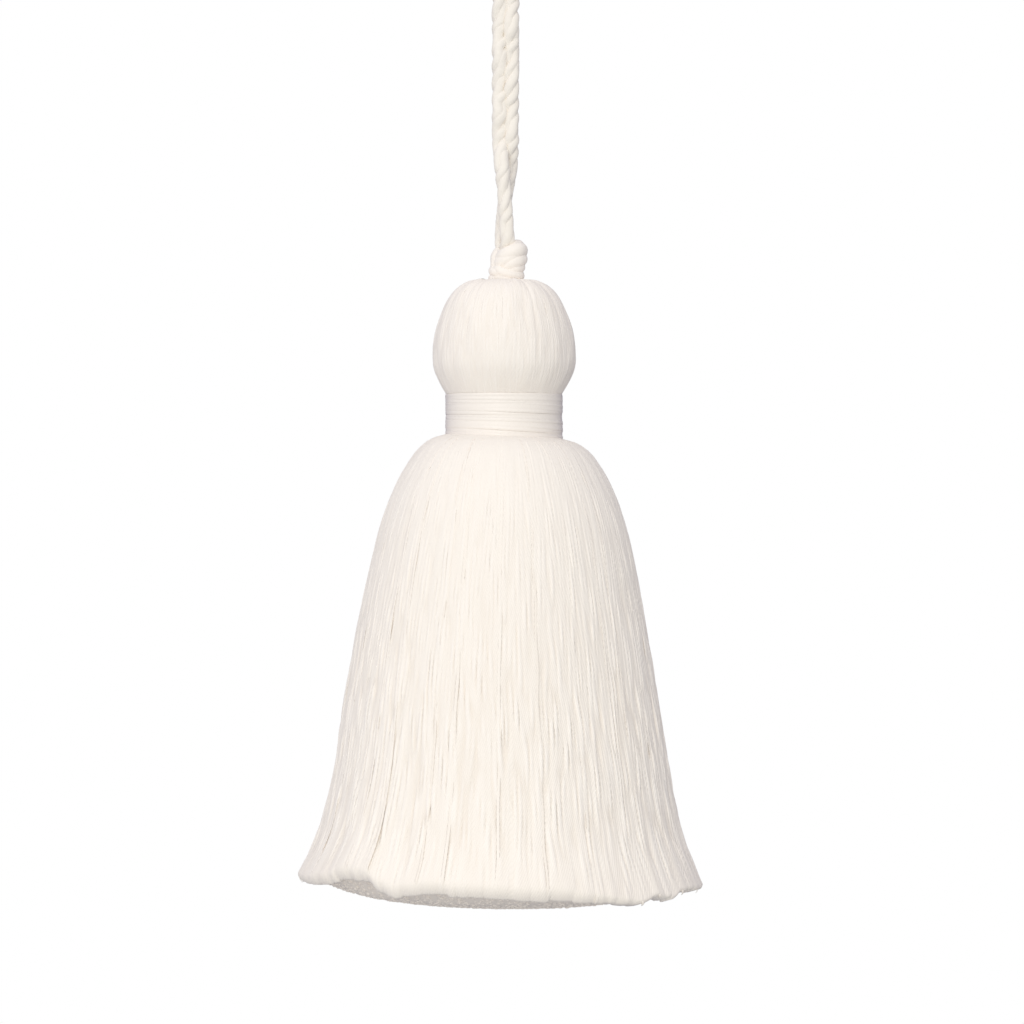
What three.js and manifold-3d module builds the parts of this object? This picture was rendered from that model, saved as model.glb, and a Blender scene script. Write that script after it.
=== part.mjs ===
// A cotton key tassel: a loop of twisted cord tied in a knot, a bundle of yarn folded over the cord
// into a round head, a thread wound round the neck, and the locks of yarn that hang below it.
// Millimetres, +Z up. The origin is the point inside the top of the loop that the tassel hangs from.
import * as THREE from "three";
import { mergeVertices } from "three/addons/utils/BufferGeometryUtils.js";
import Module from "manifold-3d";

// Clearance between neighbouring pieces
const GAP = 0.3;

// Heights of the main levels below the hanging point
const KNOT_TOP = -63.1;
const HEAD_TOP = -69.8;
const BINDING_TOP = -88.1;
const BINDING_BOTTOM = -95.1;

// Twisted cord: its plies stand out as lobes that turn once in each lay
const CORD_DIAMETER = 2.15;
const CORD_PLIES = 3;
const CORD_LAY = 8.1;
const PLY_GROOVE = 0.32;
const CORD_STEP = 1.1;

// Centreline of the cord, from the knot up the left run, round the eye and down the right run.
// The runs lie side by side and pass round each other once, the left one in front, above the knot.
// Columns: x to the right, y to the back, z up
const CORD_ROUTE = [
  [0.62, -1.08, -62.8],
  [0.42, -1.17, -60.8],
  [0.22, -1.24, -58.6],
  [0.02, -1.24, -56.4],
  [-0.24, -1.16, -54.4],
  [-0.45, -0.98, -52.3],
  [-0.72, -0.7, -50.2],
  [-0.95, -0.22, -47.6],
  [-1.0, 0, -44.5],
  [-1.0, 0, -36.5],
  [-1.0, 0, -28.0],
  [-1.12, 0, -24.0],
  [-1.45, 0, -20.0],
  [-2.0, 0, -16.0],
  [-2.75, 0, -12.2],
  [-3.65, 0, -8.6],
  [-4.54, 0, -5.16],
  [-4.54, 0, -2.59],
  [-3.26, 0, -0.38],
  [-1.04, 0, 0.91],
  [1.52, 0, 0.91],
  [3.74, 0, -0.38],
  [5.02, 0, -2.59],
  [5.02, 0, -5.16],
  [4.13, 0, -8.6],
  [3.23, 0, -12.2],
  [2.48, 0, -16.0],
  [1.93, 0, -20.0],
  [1.6, 0, -24.0],
  [1.48, 0, -28.0],
  [1.46, 0, -36.5],
  [1.46, 0, -44.5],
  [1.5, 0.22, -47.6],
  [1.34, 0.7, -50.2],
  [1.06, 0.98, -52.3],
  [0.66, 1.16, -54.4],
  [0.2, 1.24, -56.4],
  [-0.08, 1.24, -58.6],
  [-0.35, 1.17, -60.8],
  [-0.6, 1.08, -62.8],
];

// Knot: level sections from its foot up, each a circle moved sideways, with bands raised on them
const KNOT_SIDES = 30;
const KNOT_BANDS = 2;
const KNOT_BAND_HEIGHT = 0.34;
const KNOT_BAND_RISE = 0.95;
const KNOT_SECTIONS = [
  { rise: 0.0, radius: 2.6, shift: 0.3 },
  { rise: 0.7, radius: 2.9, shift: 0.4 },
  { rise: 1.8, radius: 2.9, shift: 0.55 },
  { rise: 3.0, radius: 2.95, shift: 0.7 },
  { rise: 4.2, radius: 3.0, shift: 0.8 },
  { rise: 5.3, radius: 2.85, shift: 0.75 },
  { rise: 6.0, radius: 2.6, shift: 0.4 },
  { rise: 6.4, radius: 2.4, shift: 0.1 },
];

// Head and its hidden lower part: half outlines turned about the axis
const HEAD_SIDES = 40;
const NECK_RADIUS = 8.5;
const HEAD_OUTLINE = [
  { drop: 0.0, radius: 5.3 },
  { drop: 0.6, radius: 6.9 },
  { drop: 1.7, radius: 8.1 },
  { drop: 3.3, radius: 9.2 },
  { drop: 5.6, radius: 10.2 },
  { drop: 8.4, radius: 11.0 },
  { drop: 11.4, radius: 11.4 },
  { drop: 14.0, radius: 11.3 },
  { drop: 15.8, radius: 10.7 },
  { drop: 17.2, radius: 9.9 },
  { drop: 17.9, radius: 9.5 },
];

// Roots of the locks, a flat-bottomed knob below the binding, with drops from the binding's lower edge
const ROOT_OUTLINE = [
  { drop: 0.4, radius: 9.8 },
  { drop: 2.4, radius: 10.8 },
  { drop: 5.0, radius: 10.4 },
];
const ROOT_DEPTH = 5.0;

// Binding thread wound round the neck, each turn raised
const BINDING_SIDES = 36;
const BINDING_TURNS = 9;
const BINDING_RADIUS = 9.5;
const TURN_HEIGHT = 0.24;

// Skirt: the line of an outermost lock from its root to its tip, with drops from the binding's lower edge
const SKIRT_DROP = 70.4;
const SKIRT_RADIUS = 32.2;
const SKIRT_LINE = [
  { drop: 2.6, radius: 9.2 },
  { drop: 0.6, radius: 11.2 },
  { drop: 1.9, radius: 13.8 },
  { drop: 6.9, radius: 17.0 },
  { drop: 15.0, radius: 19.9 },
  { drop: 42.0, radius: 25.1 },
  { drop: 57.3, radius: 27.7 },
  { drop: 63.3, radius: 29.2 },
  { drop: 67.4, radius: 31.0 },
  { drop: 69.3, radius: 31.8 },
  { drop: SKIRT_DROP, radius: 31.2 },
];
// The line of an inner lock, before its radii are taken in by the share of its ring
const INNER_LINE = [
  { drop: 3.0, radius: 9.0 },
  { drop: 15.0, radius: 19.9 },
  { drop: 57.3, radius: 27.7 },
  { drop: SKIRT_DROP, radius: SKIRT_RADIUS },
];
// Sideways lean of the whole skirt, reached at a drop below the binding
const SKIRT_LEAN = -0.45;
const LEAN_DROP = 40.0;

// Cut ends: the rim is higher on the left, and the ends inside it hang lower and slope down to the right
const RIM_TILT = 1.35;
const RIM_SHARE = 0.78;
const UNDERSIDE_TILT = 0.45;
const UNDERSIDE_TURN = -Math.PI / 6;
const CUT_CROWN = 3.35;
const CROWN_POWER = 3.5;
const CUT_UNEVENNESS = 0.15;
// How much higher the rim is cut, at angles in degrees from +X: the locks to the left of its front are shorter
const RIM_LIFT = [
  { angle: 0, lift: -0.2 },
  { angle: 60, lift: 0.3 },
  { angle: 110, lift: -0.3 },
  { angle: 180, lift: -1.2 },
  { angle: 200, lift: -0.7 },
  { angle: 219, lift: 1.1 },
  { angle: 229.5, lift: 1.6 },
  { angle: 233, lift: 0.2 },
  { angle: 239, lift: -0.5 },
  { angle: 252, lift: 0.5 },
  { angle: 271, lift: 0.5 },
  { angle: 299, lift: -0.2 },
  { angle: 323, lift: -0.3 },
  { angle: 327, lift: 0.7 },
  { angle: 345, lift: 0.1 },
  { angle: 360, lift: -0.2 },
];

// Rings of locks from the outside in: share is the part of the skirt's radius that the ring lies at,
// depth is a lock's thickness at its tip, and its sharp edge points out or in
const LOCK_SPREAD = 0.07;
const LOCK_RINGS = [
  { count: 80, share: 1.0, depth: 1.5, edge: "out" },
  { count: 52, share: 0.92, depth: 3.0, edge: "in" },
  { count: 36, share: 0.79, depth: 4.2, edge: "in" },
  { count: 24, share: 0.62, depth: 4.6, edge: "in" },
  { count: 16, share: 0.43, depth: 4.8, edge: "in" },
  { count: 7, share: 0.23, depth: 4.6, edge: "in" },
];

// Colours of the cotton
const CORD_COLOUR = 0xf3ece1;
const YARN_COLOUR = 0xf5eee4;
const THREAD_COLOUR = 0xf2ebe0;

const wasm = await Module();
wasm.setup();

// A repeatable number from 0 to 1 for each whole number
function scatter(index) {
  const wave = Math.sin(index * 127.1 + 11.7) * 43758.5453;
  return wave - Math.floor(wave);
}

// A closed skin over rings of equally many points, each ring listed anticlockwise seen from the last ring
function skinOver(rings) {
  const sides = rings[0].length;
  const faces = [];
  for (let ring = 0; ring + 1 < rings.length; ring++) {
    for (let side = 0; side < sides; side++) {
      const low = ring * sides + side;
      const next = ring * sides + ((side + 1) % sides);
      faces.push(low, next, next + sides);
      faces.push(low, next + sides, low + sides);
    }
  }
  const last = (rings.length - 1) * sides;
  for (let side = 1; side + 1 < sides; side++) {
    faces.push(0, side + 1, side);
    faces.push(last, last + side, last + side + 1);
  }
  const geometry = new THREE.BufferGeometry();
  geometry.setFromPoints(rings.flat());
  geometry.setIndex(faces);
  return geometry;
}

// A half outline of radius and height, turned about the Z axis
function turned(outline, sides) {
  const points = outline.map(([radius, height]) => new THREE.Vector2(radius, height));
  const geometry = new THREE.LatheGeometry(points, sides);
  return geometry.rotateX(Math.PI / 2);
}

function toSolid(geometry) {
  const bare = geometry.clone();
  bare.deleteAttribute("normal");
  bare.deleteAttribute("uv");
  const merged = mergeVertices(bare, 1e-4);
  const vertProperties = new Float32Array(merged.attributes.position.array);
  const triVerts = new Uint32Array(merged.index.array);
  return new wasm.Manifold(new wasm.Mesh({ numProp: 3, vertProperties, triVerts }));
}

function toGeometry(solid) {
  const mesh = solid.getMesh();
  const geometry = new THREE.BufferGeometry();
  geometry.setAttribute("position", new THREE.BufferAttribute(new Float32Array(mesh.vertProperties), 3));
  geometry.setIndex(new THREE.BufferAttribute(new Uint32Array(mesh.triVerts), 1));
  return geometry;
}

// The cord's section is lobed, three points to a ply, and turns as it goes along the route
function cordGeometry() {
  const points = CORD_ROUTE.map(([x, y, z]) => new THREE.Vector3(x, y, z));
  const route = new THREE.CatmullRomCurve3(points, false, "catmullrom", 0.5);
  const length = route.getLength();
  const steps = Math.round(length / CORD_STEP);
  const frames = route.computeFrenetFrames(steps);
  const sides = CORD_PLIES * 3;
  const rings = [];
  for (let step = 0; step <= steps; step++) {
    const centre = route.getPointAt(step / steps);
    const twist = (step / steps) * (length / CORD_LAY) * 2 * Math.PI;
    const ring = [];
    for (let side = 0; side < sides; side++) {
      const inGroove = side % 3 === 0;
      const radius = CORD_DIAMETER / 2 - (inGroove ? PLY_GROOVE : 0);
      const angle = twist + (side / sides) * 2 * Math.PI;
      const point = centre.clone();
      point.addScaledVector(frames.normals[step], radius * Math.cos(angle));
      point.addScaledVector(frames.binormals[step], radius * Math.sin(angle));
      ring.push(point);
    }
    rings.push(ring);
  }
  return skinOver(rings);
}

// The knot's bands wind upwards to the right round its front, and fade out at its flat foot and top
function knotGeometry() {
  const foot = HEAD_TOP + GAP;
  const height = KNOT_SECTIONS[KNOT_SECTIONS.length - 1].rise;
  const rings = KNOT_SECTIONS.map(({ rise, radius, shift }) => {
    const fade = Math.sin((rise / height) * Math.PI);
    const ring = [];
    for (let side = 0; side < KNOT_SIDES; side++) {
      const angle = (side / KNOT_SIDES) * 2 * Math.PI;
      const band = KNOT_BAND_HEIGHT * fade * Math.cos(KNOT_BANDS * angle - KNOT_BAND_RISE * rise);
      const reach = radius + band;
      const level = foot + (rise / height) * (KNOT_TOP - foot);
      ring.push(new THREE.Vector3(shift + reach * Math.cos(angle), reach * Math.sin(angle), level));
    }
    return ring;
  });
  return skinOver(rings);
}

// Head, neck and the knob of roots as one turned solid, listed from the bottom up
function bundleCore() {
  const head = HEAD_OUTLINE.map(({ drop, radius }) => [radius, HEAD_TOP - drop]);
  const roots = ROOT_OUTLINE.map(({ drop, radius }) => [radius, BINDING_BOTTOM - drop]);
  const outline = [
    [0, HEAD_TOP],
    ...head,
    [NECK_RADIUS, BINDING_TOP + GAP],
    [NECK_RADIUS, BINDING_BOTTOM - GAP],
    ...roots,
    [0, BINDING_BOTTOM - ROOT_DEPTH],
  ];
  return turned(outline.reverse(), HEAD_SIDES);
}

// Lift of the rim at an angle, in a straight line between the two rows that it lies between
function rimLift(angle) {
  const degrees = THREE.MathUtils.euclideanModulo(THREE.MathUtils.radToDeg(angle), 360);
  const after = RIM_LIFT.findIndex((row) => row.angle > degrees);
  const from = RIM_LIFT[after - 1];
  const to = RIM_LIFT[after];
  return THREE.MathUtils.mapLinear(degrees, from.angle, to.angle, from.lift, to.lift);
}

// Height of the cut surface over a point below the skirt
function cutHeight(x, y) {
  const share = Math.min(1, Math.hypot(x, y) / SKIRT_RADIUS);
  const angle = Math.atan2(y, x);
  const rim = rimLift(angle) - RIM_TILT * Math.cos(angle);
  const inside = -UNDERSIDE_TILT * share * Math.cos(angle - UNDERSIDE_TURN);
  const lift = THREE.MathUtils.lerp(inside, rim, THREE.MathUtils.smoothstep(share, RIM_SHARE, 1));
  const crown = CUT_CROWN * (1 - share ** CROWN_POWER);
  return BINDING_BOTTOM - SKIRT_DROP - crown + lift;
}

// The line of a lock in its own upright plane
function lockLine(ring) {
  if (ring.share === 1) return SKIRT_LINE;
  return INNER_LINE.map(({ drop, radius }) => ({ drop, radius: ring.share * radius }));
}

// Unit vector square to a lock's line at one of its rows, on the outer side, as radius and height
function outerSide(line, row) {
  const before = line[Math.max(0, row - 1)];
  const after = line[Math.min(line.length - 1, row + 1)];
  return new THREE.Vector2(after.drop - before.drop, after.radius - before.radius).normalize();
}

// One three-sided lock: it widens and thickens downwards, and its tip follows the cut surface
function lockSolid(ring, number, seed) {
  const pitch = (2 * Math.PI) / ring.count;
  const angle = (number + LOCK_SPREAD * (2 * scatter(seed) - 1)) * pitch;
  const ragged = CUT_UNEVENNESS * (2 * scatter(seed + 0.5) - 1);
  const line = lockLine(ring);
  const rings = line.map(({ drop, radius }, row) => {
    const isTip = row === line.length - 1;
    const depth = (ring.depth * radius) / (ring.share * SKIRT_RADIUS);
    const outer = isTip ? new THREE.Vector2(1, 0) : outerSide(line, row);
    const lean = SKIRT_LEAN * THREE.MathUtils.smoothstep(drop, 0, LEAN_DROP);
    const place = (inset, side) => {
      const reach = radius - inset * outer.x;
      const x = reach * Math.cos(angle) - side * Math.sin(angle);
      const y = reach * Math.sin(angle) + side * Math.cos(angle);
      const level = BINDING_BOTTOM - drop - inset * outer.y;
      return new THREE.Vector3(x + lean, y, isTip ? cutHeight(x, y) + ragged : level);
    };
    const widest = ring.edge === "out" ? radius - depth * outer.x : radius;
    const half = (widest * pitch * (1 - 2 * LOCK_SPREAD)) / 2 - GAP / 2;
    if (ring.edge === "out") return [place(0, 0), place(depth, -half), place(depth, half)];
    return [place(depth, 0), place(0, half), place(0, -half)];
  });
  return toSolid(skinOver(rings));
}

// The yarn bundle: every lock is joined to the roots below the binding
function bundleGeometry() {
  const solids = [toSolid(bundleCore())];
  LOCK_RINGS.forEach((ring, order) => {
    for (let number = 0; number < ring.count; number++) {
      solids.push(lockSolid(ring, number + order / 2, order * 100 + number));
    }
  });
  return toGeometry(wasm.Manifold.union(solids));
}

// The binding is a sleeve whose outside bulges at each turn of the thread
function bindingGeometry() {
  const pitch = (BINDING_TOP - BINDING_BOTTOM) / BINDING_TURNS;
  const inside = NECK_RADIUS + GAP;
  const outline = [[inside, BINDING_BOTTOM]];
  for (let turn = 0; turn < BINDING_TURNS; turn++) {
    const foot = BINDING_BOTTOM + turn * pitch;
    outline.push([BINDING_RADIUS - TURN_HEIGHT, foot]);
    outline.push([BINDING_RADIUS, foot + pitch / 2]);
  }
  outline.push([BINDING_RADIUS - TURN_HEIGHT, BINDING_TOP]);
  outline.push([inside, BINDING_TOP]);
  outline.push([inside, BINDING_BOTTOM]);
  return turned(outline, BINDING_SIDES);
}

function cotton(color) {
  return new THREE.MeshStandardMaterial({ color, roughness: 0.9, metalness: 0 });
}

function piece(name, geometry, color) {
  const mesh = new THREE.Mesh(geometry, cotton(color));
  mesh.name = name;
  return mesh;
}

const tassel = new THREE.Group();
tassel.add(piece("hanging_cord", cordGeometry(), CORD_COLOUR));
tassel.add(piece("loop_knot", knotGeometry(), CORD_COLOUR));
tassel.add(piece("yarn_bundle", bundleGeometry(), YARN_COLOUR));
tassel.add(piece("neck_binding", bindingGeometry(), THREAD_COLOUR));

export default tassel;
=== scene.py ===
"""A cream cotton key tassel, hanging by its cord loop in front of a white ground.

Cord and knot are laid plies, the neck is one wound thread, and head and skirt are closed sheets of yarn with
soft grooves and a few loose yarns on them. Sizes are in millimetres and become metres when a mesh is made.
"""

import math

import bpy
import numpy as np
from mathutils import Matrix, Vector


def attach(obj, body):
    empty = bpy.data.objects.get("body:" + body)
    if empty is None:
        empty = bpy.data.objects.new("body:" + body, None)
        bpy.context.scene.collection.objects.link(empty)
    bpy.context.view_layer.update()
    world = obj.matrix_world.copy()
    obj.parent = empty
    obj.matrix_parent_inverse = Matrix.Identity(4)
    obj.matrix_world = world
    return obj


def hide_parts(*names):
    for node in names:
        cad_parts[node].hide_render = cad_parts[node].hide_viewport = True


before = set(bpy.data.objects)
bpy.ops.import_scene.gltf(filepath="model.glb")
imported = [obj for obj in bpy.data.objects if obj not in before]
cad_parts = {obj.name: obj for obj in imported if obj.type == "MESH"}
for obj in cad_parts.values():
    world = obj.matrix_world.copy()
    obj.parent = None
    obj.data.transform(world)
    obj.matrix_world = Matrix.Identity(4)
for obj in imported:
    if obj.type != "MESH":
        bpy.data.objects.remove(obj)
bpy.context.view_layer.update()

MM = 0.001
FULL_TURN = 2 * math.pi
GOLDEN_ANGLE = math.pi * (3 - math.sqrt(5))

# The photograph: its width in pixels, a pixel's size, the tassel's axis in it, and the height of its top edge
PHOTO_SIZE = 1024
PIXEL = 0.16
AXIS_PIXEL = 504
PHOTO_TOP = -25.0
CAMERA_DISTANCE = 640.0
SENSOR = 36.0

# Heights of the main levels, as in the solid model
HEAD_TOP = -69.8
BINDING_TOP = -88.1
BINDING_BOTTOM = -95.1

# Points on each stretch of a route, a direction that no route starts along, and the least length divided by
ROUTE_POINTS = 40
ROUTE_SIDE = (0.3, 1.0, 0.2)
TINY = 1e-12
# Sideways nudge that gives points on the axis an outer side
AXIS_NUDGE = 1e-6

# Points round a yarn, in degrees: evenly for a round one, and most on the outer side for a pressed one
ROUND_SECTION = (0, 60, 120, 180, 240, 300)
FINE_SECTION = (0, 45, 90, 135, 180, 225, 270, 315)
PRESSED_SECTION = (0, 45, 90, 180, 270, 315)
# Length of yarn in which its twist turns once, and the tone of what has no tone of its own
TWIST_PITCH = 1.0
MIDDLE_TONE = 0.5
# A sheet's lining has every fifth of its rows
LINING_STEP = 5
# How far yarns are moved from even places, as a share of the step between them
YARN_JITTER = 0.4

# Hanging cord: its runs are pressed together about their middle, and draw thin above the knot
CORD_PLIES = 3
CORD_LAY = 8.1
CORD_STEP = 0.22
RUN_MIDDLE = 0.23
RUN_PRESS = 0.72
# Radii of a run, by heights
RUN_RADII = [(-70.0, 1.2), (-60.0, 1.22), (-57.0, 1.14), (-52.0, 1.27), (-44.0, 1.35),
             (-25.0, 1.34), (-16.0, 1.12), (5.0, 1.1)]
# How far the two runs wave to the front and back past each other, and over what height
RUN_WAVE = 0.28
RUN_WAVE_HEIGHT = 9.0
# How full the soft plies are, and how unevenly they are laid
CORD_FULLNESS = 0.66
KNOT_FULLNESS = 0.8
PLY_UNEVENNESS = 0.03
LAY_UNEVENNESS = 0.35
UNEVEN_WAVES = 5
UNEVEN_LENGTHS = (3.0, 9.0)
# Yarns of a ply: number, points on each, grooves between them as shares of its radius, their turn and tones
PLY_YARNS = 5
YARN_POINTS = 4
PLY_GROOVE = 0.05
KNOT_GROOVE = 0.03
PLY_TURN = 2.6
PLY_TONES = (0.3, 0.8)
CORD_ROUTE = [
    (0.62, -1.08, -62.8),
    (0.42, -1.17, -60.8),
    (0.22, -1.24, -58.6),
    (0.02, -1.24, -56.4),
    (-0.24, -1.16, -54.4),
    (-0.45, -0.98, -52.3),
    (-0.72, -0.7, -50.2),
    (-0.95, -0.22, -47.6),
    (-1.0, 0, -44.5),
    (-1.0, 0, -36.5),
    (-1.0, 0, -28.0),
    (-1.12, 0, -24.0),
    (-1.45, 0, -20.0),
    (-2.0, 0, -16.0),
    (-2.75, 0, -12.2),
    (-3.65, 0, -8.6),
    (-4.54, 0, -5.16),
    (-4.54, 0, -2.59),
    (-3.26, 0, -0.38),
    (-1.04, 0, 0.91),
    (1.52, 0, 0.91),
    (3.74, 0, -0.38),
    (5.02, 0, -2.59),
    (5.02, 0, -5.16),
    (4.13, 0, -8.6),
    (3.23, 0, -12.2),
    (2.48, 0, -16.0),
    (1.93, 0, -20.0),
    (1.6, 0, -24.0),
    (1.48, 0, -28.0),
    (1.46, 0, -36.5),
    (1.46, 0, -44.5),
    (1.5, 0.22, -47.6),
    (1.34, 0.7, -50.2),
    (1.06, 0.98, -52.3),
    (0.66, 1.16, -54.4),
    (0.2, 1.24, -56.4),
    (-0.08, 1.24, -58.6),
    (-0.35, 1.17, -60.8),
    (-0.6, 1.08, -62.8),
]

# Where the two ends of the cord go on inside the knot
CORD_ENDS = [[(0.6, -0.3, -65.0), (0.66, -0.8, -63.9)], [(-0.5, 0.8, -63.9), (0.0, 0.3, -65.0)]]

# Knot: turns of the drawn-up cord with their radii, x to the right, y to the back and z up
KNOT_LAY = 10.0
KNOT_TURNS = [
    # Upper turn, from low on the left across the front to the upper right and round the back
    (1.7, [(-0.5, 0.7, -67.2), (-0.1, -0.5, -66.7), (0.8, -1.1, -66.0), (1.75, -0.9, -65.25),
           (2.15, 0.1, -65.0), (1.7, 1.1, -65.3), (0.5, 1.3, -65.9)]),
    # Lower turn, close beside the first one on its right
    (1.45, [(0.2, 0.4, -67.9), (0.7, -0.9, -67.5), (1.6, -1.2, -66.9), (2.3, -0.3, -66.5),
            (2.1, 0.8, -66.4), (0.9, 1.3, -66.9)]),
    # Third turn, low on the right
    (1.1, [(0.5, -0.9, -68.3), (1.6, -1.3, -68.0), (2.3, -0.4, -67.8), (2.1, 0.8, -67.6)]),
    # Left turn, set back
    (1.05, [(0.2, 0.9, -64.9), (-0.6, 0.7, -65.3), (-1.15, 0.4, -66.1), (-1.25, 0.2, -67.2),
            (-1.15, 0.0, -68.2)]),
    # Collar round the foot
    (1.1, [(0.6, 1.8, -68.0), (-0.8, 1.4, -68.2), (-1.4, 0.1, -68.4), (-0.9, -1.2, -68.5),
           (0.5, -1.7, -68.9), (1.8, -1.2, -69.2), (2.2, 0.1, -69.1), (1.6, 1.4, -68.8), (0.3, 1.8, -68.6)]),
    # Foot that goes into the crown
    (1.15, [(2.1, -0.4, -69.6), (0.35, -1.6, -69.8), (-1.4, -0.4, -69.5), (-0.6, 1.4, -69.5),
            (1.5, 1.2, -69.6)]),
    # Core down into the head
    (1.6, [(0.4, 0.1, -65.0), (0.35, 0.1, -67.0), (0.3, 0.1, -70.8)]),
]

# Head: the line of a yarn from the knot over the crown to the neck, as drops below its top and radii
HEAD_LINE = [
    (0.5, 1.2),
    (0.05, 2.8),
    (-0.02, 4.2),
    (0.13, 5.5),
    (0.7, 6.8),
    (1.8, 8.13),
    (3.35, 9.25),
    (5.55, 10.2),
    (8.4, 11.02),
    (11.4, 11.42),
    (14.2, 11.27),
    (15.9, 10.62),
    (17.2, 9.95),
    (18.2, 9.35),
    (19.8, 8.7),
]
# Its sheet: rows and columns of points, yarns that it shows, and how deep it and its lining lie
HEAD_ROWS = 56
HEAD_COLUMNS = 720
HEAD_YARNS = 73
HEAD_SHEET_DEPTH = 0.06
HEAD_LINING_DEPTH = 1.0
# Creases where the yarn parts into gores: angle in degrees from the right, towards the back, and depth
HEAD_CREASES = [(-121.5, 0.1), (-61, 0.12), (-79.5, 0.06), (-152, 0.06), (-33, 0.07), (15, 0.12), (60, 0.08),
                (100, 0.12), (150, 0.08)]
CREASE_WIDTH = 0.04
# Share of the yarns' length where the creases end
CREASE_END = 0.8
# Lumps of the yarn underneath: their height, and how many waves there are, go round and go down
HEAD_LUMPS = 0.1
LUMP_WAVES = 14
LUMPS_ROUND = (3, 22)
LUMPS_DOWN = (-3, 3)
# Soft grooves between the yarns: how many waves of them go round, their depth, and how much painted shade
# darkens them
HEAD_GROOVE_RANGE = (30, 95)
HEAD_GROOVE_DEPTH = 0.055
HEAD_GROOVE_PAINTED_SHADE = 1.6
# Loose yarns: number, radius and its spread, how flat they are, and how far they stand out of the sheet
HEAD_LOOSE_YARNS = 24
HEAD_YARN_RADIUS = 0.28
HEAD_YARN_SPREAD = (0.9, 1.12)
HEAD_FLATNESS = 0.24
HEAD_RELIEF = -0.005
# How they rise and sway along their length, with waves in it, and how their levels differ
HEAD_RISE = 0.009
HEAD_RISE_WAVES = (0.8, 1.7, 3.1)
HEAD_LEVEL = 0.005
HEAD_SWAY = 0.12
HEAD_SWAY_WAVES = (0.7, 1.6)
# Radius inside which a sway turns yarns no further
HEAD_SWAY_REACH = 3.0

# Neck binding: turns of thread, steps in a turn, and the thread's own sizes and tone
THREAD_TURNS = 14
THREAD_STEPS = 150
THREAD_RADIUS = 0.33
THREAD_FLATNESS = 0.25
THREAD_TONE = 0.6
# Height from first turn to last, the part of a turn that is level at each end, and the angle where it starts
WOUND_HEIGHT = BINDING_TOP - BINDING_BOTTOM - 2 * THREAD_RADIUS
LEVEL_TURN = 0.5
THREAD_START = math.pi / 2
NECK_RADIUS = 9.31
# How much lower the last turn lies on the right
BINDING_TILT = 0.4
# Unevenness of the turns: waves in a turn, and how far they go up and out
TURN_WAVES = (0.37, 0.83, 1.31, 2.17)
TURN_SHAKE = 0.05
TURN_BULGE = 0.02
# Places along the thread, in turns, where it lies deeper and shows as a groove, with their depth and length
DEEP_TURNS = (1.0, 2.9, 4.6, 7.4, 9.6, 12.2)
DEEP_TURN = 0.04
DEEP_TURN_LENGTH = 0.8
# Unevenness of the yarn under the binding: waves over its height, their heights and phases
NECK_WAVES = [(1.4, 0.035, 0.4), (2.7, 0.028, 2.1), (4.3, 0.018, 5.2)]
# Layer of thread that closes the gaps between the turns
LAYER_COLUMNS = 180
LAYER_ROWS = 30
LAYER_EDGE = 0.3
LAYER_RISE = 0.035
LAYER_DEPTH = 0.7
LAYER_THREADS = 60

# Skirt: the line of an outermost yarn from inside the neck to the rim, as drops below the binding and radii
SKIRT_DROP = 70.4
SKIRT_RADIUS = 32.5
SKIRT_LINE = [
    (-1.6, 8.3),
    (-0.3, 8.8),
    (0.0, 9.9),
    (0.5, 11.55),
    (1.4, 12.95),
    (2.5, 14.1),
    (4.2, 15.3),
    (7.4, 17.1),
    (13.1, 19.3),
    (18.9, 20.8),
    (26.6, 22.35),
    (41.9, 25.05),
    (57.3, 27.65),
    (63.3, 29.2),
    (67.4, 31.0),
    (SKIRT_DROP, SKIRT_RADIUS),
]
# Sideways lean of the skirt, by drops below the binding: to the right if positive
SKIRT_LEAN = [(0.0, 0.06), (20.0, -0.15), (40.0, -0.4), (52.0, -0.25), (60.0, -0.4), (66.0, -0.45),
              (SKIRT_DROP, -0.7)]
RIM_LEAN = SKIRT_LEAN[-1][1]
# How much lower the shoulder is on the right, and the drop over which that fades
SHOULDER_TILT = 0.4
SHOULDER_FADE = 8.0
# How much lower the cut is on the right
CUT_TILT = 1.35
# How much higher than that the ends are round the rim: angles in degrees from the right, by the back
RIM_LIFT = [
    (0.0, -0.2),
    (20.0, 0.1),
    (60.0, 0.3),
    (110.0, -0.3),
    (180.0, -1.2),
    (200.0, -0.7),
    (212.0, 0.2),
    (219.0, 1.1),
    (229.5, 1.6),
    (231.0, 0.9),
    (233.0, 0.2),
    (236.0, -0.2),
    (239.0, -0.5),
    (242.0, -0.2),
    (246.0, 0.1),
    (252.0, 0.5),
    (259.0, 0.4),
    (271.0, 0.5),
    (285.0, 0.1),
    (299.0, -0.4),
    (310.0, -0.9),
    (313.5, -0.8),
    (316.5, -0.4),
    (319.6, 0.0),
    (323.2, -0.6),
    (327.0, -0.5),
    (331.0, 0.3),
    (336.0, 0.2),
    (345.0, 0.1),
    (352.0, -0.1),
    (360.0, -0.2),
]

# Locks that the yarn draws together into: widths by shares, and their pull, rise and sway towards the ends
LOCKS = 66
LOCK_WIDTHS = (0.5, 1.6)
LOCK_PULL = (0.0, 0.07)
LOCK_RISE = 0.12
LOCK_SWAY = 0.08
# How much higher a lock is cut at its edges than in its middle, and how much deeper its edges lie
LOCK_ARCH = 0.15
LOCK_ROUNDING = 0.14
# Shares of the skirt's drop over which the locks form
GATHER_SPAN = (0.4, 1.0)

# Skirt's sheet: rows and columns of points, yarns that it shows, and its depth at the shoulder and the ends
SHEET_ROWS = 60
SHEET_COLUMNS = 1180
SHEET_YARNS = 240
SHEET_DEPTH = (-0.08, -0.1)
# How much deeper its lining lies than the turned-in rim
LINING_GAP = 0.3
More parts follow.
